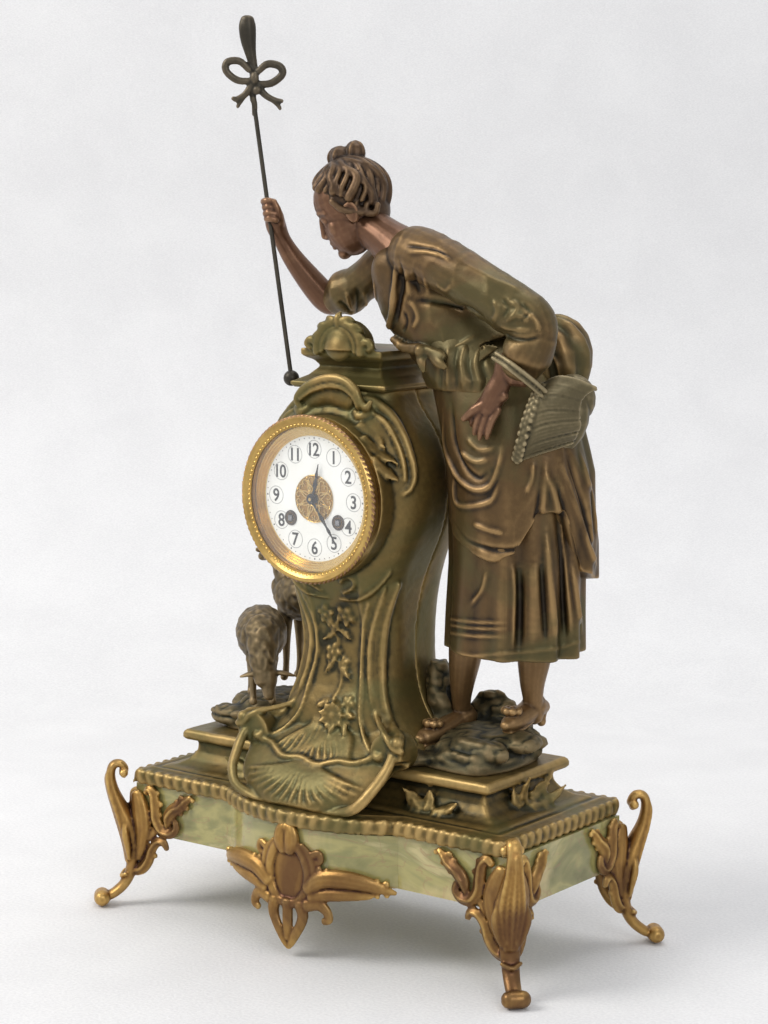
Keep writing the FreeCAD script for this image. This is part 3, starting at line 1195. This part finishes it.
ELBOWS_SHARES = {"near": (0.366, -0.067, 0.727, 0.034), "far": (-0.145, 0.072, 0.737, 0.0245)}
RIGHT_LEG_SHARES = (
    (0.185, 0.023, 0.215, 0.026, 0.026), (0.178, 0.023, 0.170, 0.026, 0.027), (0.165, 0.030, 0.110, 0.018, 0.018),
    (0.158, 0.040, 0.072, 0.015, 0.016), (0.156, 0.045, 0.050, 0.018, 0.020),
)
LEFT_LEG_SHARES = (
    (0.300, 0.047, 0.215, 0.026, 0.026), (0.298, 0.049, 0.180, 0.026, 0.027), (0.292, 0.050, 0.130, 0.017, 0.018),
    (0.290, 0.056, 0.100, 0.016, 0.018), (0.288, 0.060, 0.080, 0.018, 0.020),
)
RIGHT_SHOE_SHARES = (
    (0.160, 0.066, 0.042, 0.013, 0.013), (0.156, 0.045, 0.044, 0.021, 0.018), (0.151, 0.000, 0.040, 0.021, 0.013),
    (0.145, -0.040, 0.036, 0.019, 0.010), (0.142, -0.058, 0.033, 0.008, 0.006),
)
LEFT_SHOE_SHARES = (
    (0.286, 0.088, 0.072, 0.013, 0.013), (0.286, 0.060, 0.074, 0.020, 0.018), (0.285, 0.030, 0.072, 0.021, 0.013),
    (0.284, 0.000, 0.068, 0.018, 0.010), (0.283, -0.014, 0.065, 0.008, 0.006),
)
FACE_DIRECTION = Vector(-0.85, -0.53, 0)


def figure_ball(x, y, z, radius):
    tall = S.figure_height
    return Part.makeSphere(radius * tall, Vector(x * tall, y * tall, cap_top + z * tall))


def clear_of(shape, *others):
    """Cuts away what others already fill, so that the pieces meet face to face."""
    for other in others:
        if shape.BoundBox.intersect(other.BoundBox):
            shape = shape.cut(other)
    return largest(shape)


def arm(upper_shares, fore_shares, elbow_shares):
    return joined([
        figure_limb(upper_shares, SOUTH), figure_limb(fore_shares, SOUTH), figure_ball(*elbow_shares),
    ])


# Crook: a straight rod from the case's shoulder up through the far hand to its ribboned head
CROOK_FOOT_SHARES = (-0.131, -0.047, 0.614)
CROOK_TIP_SHARES = (-0.256, 0.012, 1.058)
CROOK_HEAD_SHARES = (
    (0.0, 0.03), (0.04, 0.14), (0.16, 0.26), (0.30, 0.28), (0.42, 0.10), (0.58, 0.08), (0.80, 0.16), (0.97, 0.15),
    (1.0, 0.05),
)


def figure_point(x, y, z):
    return station(x, y, z, 0, 0)[0]


crook_foot = figure_point(*CROOK_FOOT_SHARES)
crook_line = (figure_point(*CROOK_TIP_SHARES) - crook_foot).normalize()
crook_neck = crook_foot + crook_line * S.crook_length
BOW_SHARES = (0.04, 0.09)


def crook_staff():
    """The rod, with the knot that seats its foot on the case's shoulder."""
    knot = figure_ball(*CROOK_FOOT_SHARES, BOW_SHARES[0] / 3)
    return joined([bar(S.crook_radius, crook_foot, crook_neck), knot])


def crook_head():
    """A flat head with a bow, faced towards the viewer, with a socket on the rod's end."""
    span = S.crook_head_height
    facing = Vector(math.cos(math.radians(37)), math.sin(math.radians(37)), 0)
    wide_way = (facing - crook_line * facing.dot(crook_line)).normalize()
    thick_way = crook_line.cross(wide_way)
    half = [(out * span, up * span) for up, out in CROOK_HEAD_SHARES]
    outline = half + [(-out, up) for out, up in reversed(half)]
    back = crook_neck - thick_way * (S.crook_head_thickness / 2)
    blade = plate([back + wide_way * out + crook_line * up for out, up in outline],
                  thick_way * S.crook_head_thickness)
    return blade


# Sheep: bodies as limbs, in shares of a sheep's length from the point under its belly
SHEEP_BODY_SHARES = (
    (-0.50, 0.62, 0.10, 0.12), (-0.42, 0.66, 0.22, 0.24), (-0.15, 0.62, 0.25, 0.27), (0.15, 0.60, 0.24, 0.26),
    (0.38, 0.62, 0.19, 0.20), (0.50, 0.62, 0.10, 0.10),
)
GRAZING_NECK_SHARES = (
    (0.30, 0.62, 0.14, 0.17), (0.47, 0.50, 0.11, 0.13), (0.56, 0.36, 0.085, 0.10), (0.62, 0.22, 0.065, 0.07),
    (0.65, 0.10, 0.04, 0.04),
)
RAISED_NECK_SHARES = (
    (0.30, 0.66, 0.14, 0.17), (0.44, 0.84, 0.10, 0.12), (0.52, 1.00, 0.09, 0.11), (0.66, 1.00, 0.075, 0.08),
    (0.78, 0.93, 0.045, 0.05),
)
SHEEP_LEG_PLACES_SHARES = ((-0.34, -0.13), (-0.34, 0.13), (0.32, -0.12), (0.32, 0.12))
SHEEP_LEG_RADIUS_SHARE = 0.045
SHEEP_LEG_TOP_SHARE = 0.55
GRAZING_PLACE_SHARES = (-0.665, -0.025)
GRAZING_HEADING = math.radians(-66)
STANDING_PLACE_SHARES = (-0.665, 0.235)
STANDING_HEADING = math.radians(172)
STANDING_RISE_SHARE = 0.30


def sheep(place_shares, heading, neck_shares, ground, leg_drop):
    """A sheep that stands on the height ground, headed along heading, its legs longer by leg_drop."""
    long = S.sheep_length
    base = Vector(place_shares[0] * S.cap_half_length, place_shares[1] * S.cap_half_length, ground)
    ahead = Vector(math.cos(heading), math.sin(heading), 0)
    aside = Vector(-ahead.y, ahead.x, 0)

    def trunk(shares):
        return limb([(base + ahead * (out * long) + UP * (up * long), wide * long, deep * long)
                     for out, up, wide, deep in shares], aside)

    legs = [
        bar(SHEEP_LEG_RADIUS_SHARE * long, base + ahead * (out * long) + aside * (side * long) - UP * leg_drop,
            base + ahead * (out * long) + aside * (side * long) + UP * (SHEEP_LEG_TOP_SHARE * long))
        for out, side in SHEEP_LEG_PLACES_SHARES
    ]
    return joined([trunk(SHEEP_BODY_SHARES), trunk(neck_shares)] + legs)


# Hat on the near forearm: out along its axis, half height, half width, as shares of its length
HAT_SHARES = (
    (0.00, 0.12, 0.10), (0.10, 0.30, 0.24), (0.35, 0.40, 0.32), (0.62, 0.44, 0.34), (0.85, 0.47, 0.30),
)
HAT_PLACE_SHARES = (0.402, -0.010, 0.530)
HAT_AXIS = Vector(-0.62, -0.42, 0.50)


def straw_hat():
    """A straw bonnet whose brim leans on the arm."""
    long = S.hat_length
    start = figure_point(*HAT_PLACE_SHARES)
    axis = Vector(HAT_AXIS).normalize()
    return limb([(start + axis * (out * long), wide * long, deep * long) for out, wide, deep in HAT_SHARES], UP)


case_solid = case_block(0)
cornice_solid = cornice()
rock_right = joined([mound(ROCK_RIGHT_SHARES), mound(STUMP_SHARES)])
rock_left = mound(ROCK_LEFT_SHARES)
skirt = clear_of(figure_limb(SKIRT_SHARES, EAST), case_solid, cornice_solid)
drape = clear_of(figure_limb(DRAPE_SHARES, EAST), skirt, case_solid, cornice_solid)
bodice = clear_of(figure_limb(BODICE_SHARES, SOUTH), skirt, drape, case_solid, cornice_solid)
head = joined([
    figure_limb(HEAD_SHARES, FACE_DIRECTION), figure_limb(NECK_SHARES_UP, SOUTH),
    figure_ball(*BUN_SHARES[0]), figure_ball(*BUN_SHARES[1]),
])
staff = clear_of(crook_staff(), case_solid, cornice_solid)
near_arm = clear_of(arm(NEAR_UPPER_ARM_SHARES, NEAR_FOREARM_SHARES, ELBOWS_SHARES["near"]), bodice, drape, skirt)
far_arm = clear_of(arm(FAR_UPPER_ARM_SHARES, FAR_FOREARM_SHARES, ELBOWS_SHARES["far"]), bodice, staff)
legs = [
    clear_of(joined([figure_limb(leg_shares, SOUTH), figure_limb(shoe_shares, EAST)]), skirt, case_solid)
    for leg_shares, shoe_shares in ((RIGHT_LEG_SHARES, RIGHT_SHOE_SHARES), (LEFT_LEG_SHARES, LEFT_SHOE_SHARES))
]
rock_right = clear_of(rock_right, case_solid, *legs)
rock_left = clear_of(rock_left, case_solid)
ground = cap_top + S.rock_height * ROCK_LEFT_SHARES[-1][0]
grazing = clear_of(sheep(GRAZING_PLACE_SHARES, GRAZING_HEADING, GRAZING_NECK_SHARES, ground, S.rock_height / 2),
                   rock_left, case_solid)
standing = clear_of(sheep(STANDING_PLACE_SHARES, STANDING_HEADING, RAISED_NECK_SHARES,
                          ground + STANDING_RISE_SHARE * S.sheep_length, S.sheep_length), grazing, rock_left,
                    case_solid, cap_block(), cove_block(0))
made("rock_right", rock_right)
made("rock_left", rock_left)
made("figure_skirt", skirt)
made("figure_apron", drape)
made("figure_bodice", bodice)
made("figure_head", clear_of(head, bodice))
made("figure_arm_left", near_arm)
made("figure_arm_right", far_arm)
made("figure_legs", Part.makeCompound(legs))
made("crook_staff", staff)
made("crook_head", clear_of(crook_head(), staff))
made("sheep_grazing", grazing)
made("sheep_standing", standing)
made("straw_hat", clear_of(straw_hat(), near_arm, drape, skirt))


# Check every object, then write each sub-part
doc.recompute()
failed = [thing.Name for thing in doc.Objects if {"Invalid", "Error"} & set(thing.State)]
if failed:
    raise RuntimeError(f"objects failed: {failed}")
os.makedirs("parts", exist_ok=True)
for node, thing in PARTS.items():
    if thing.Shape.isNull() or not thing.Shape.isValid() or not thing.Shape.Solids:
        raise RuntimeError(f"{node} has no valid solid")
    thing.Shape.exportStep(f"parts/{node}.step")
print(len(PARTS), "sub-parts written")
